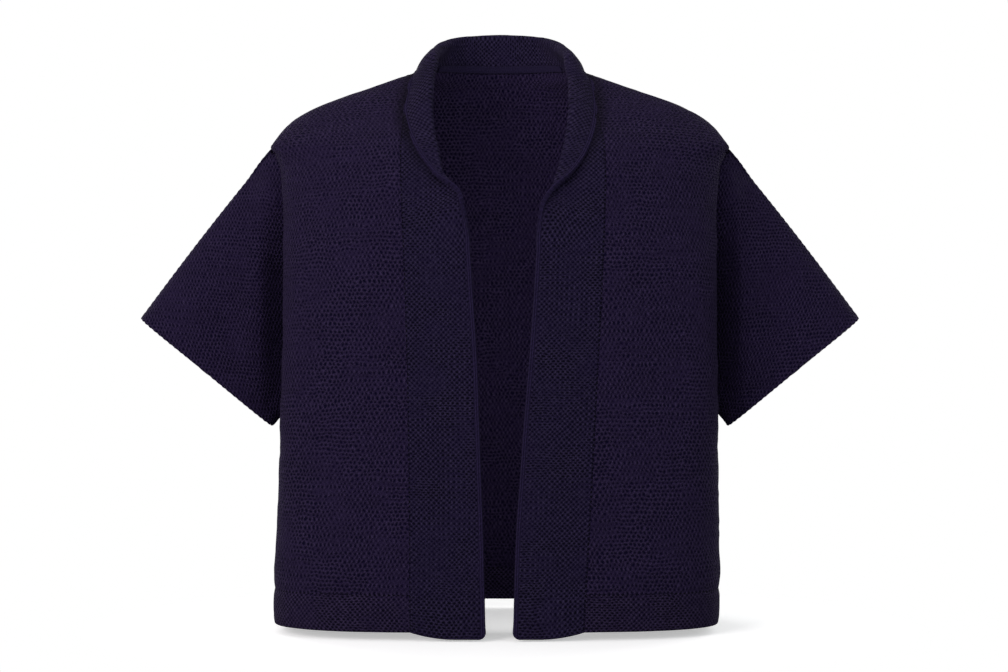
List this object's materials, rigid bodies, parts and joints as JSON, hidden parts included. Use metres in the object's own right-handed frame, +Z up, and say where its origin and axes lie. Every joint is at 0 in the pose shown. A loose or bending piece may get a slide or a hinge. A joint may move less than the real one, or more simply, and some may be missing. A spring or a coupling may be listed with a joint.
{
  "type": "open-front cardigan",
  "caption": "Cropped open-front knit cardigan with a rolled shawl collar, straight front bands, hem band and short drop-shoulder sleeves, filled out as worn.",
  "frame": {"origin": "the wearer's neck base, midway between the two neck points of the shoulder seams", "axes": "+X to the wearer's left (the viewer's right), -Y out of the front, +Z up"},
  "size_m": [0.7574, 0.2517, 0.6319],
  "materials": {
    "knit_body": "matte moss-stitch wool knit, dark violet",
    "knit_band": "matte fine seed-stitch wool knit, dark violet"
  },
  "bodies": {
    "root": {"back": "knit_body", "front_left": "knit_body", "front_right": "knit_body", "sleeve_left": "knit_body", "sleeve_right": "knit_body", "collar_band_left": "knit_band", "collar_band_right": "knit_band", "hem_band_back": "knit_band", "hem_band_front_left": "knit_band", "hem_band_front_right": "knit_band", "neck_tape": "knit_band"}
  },
  "joints": []
}
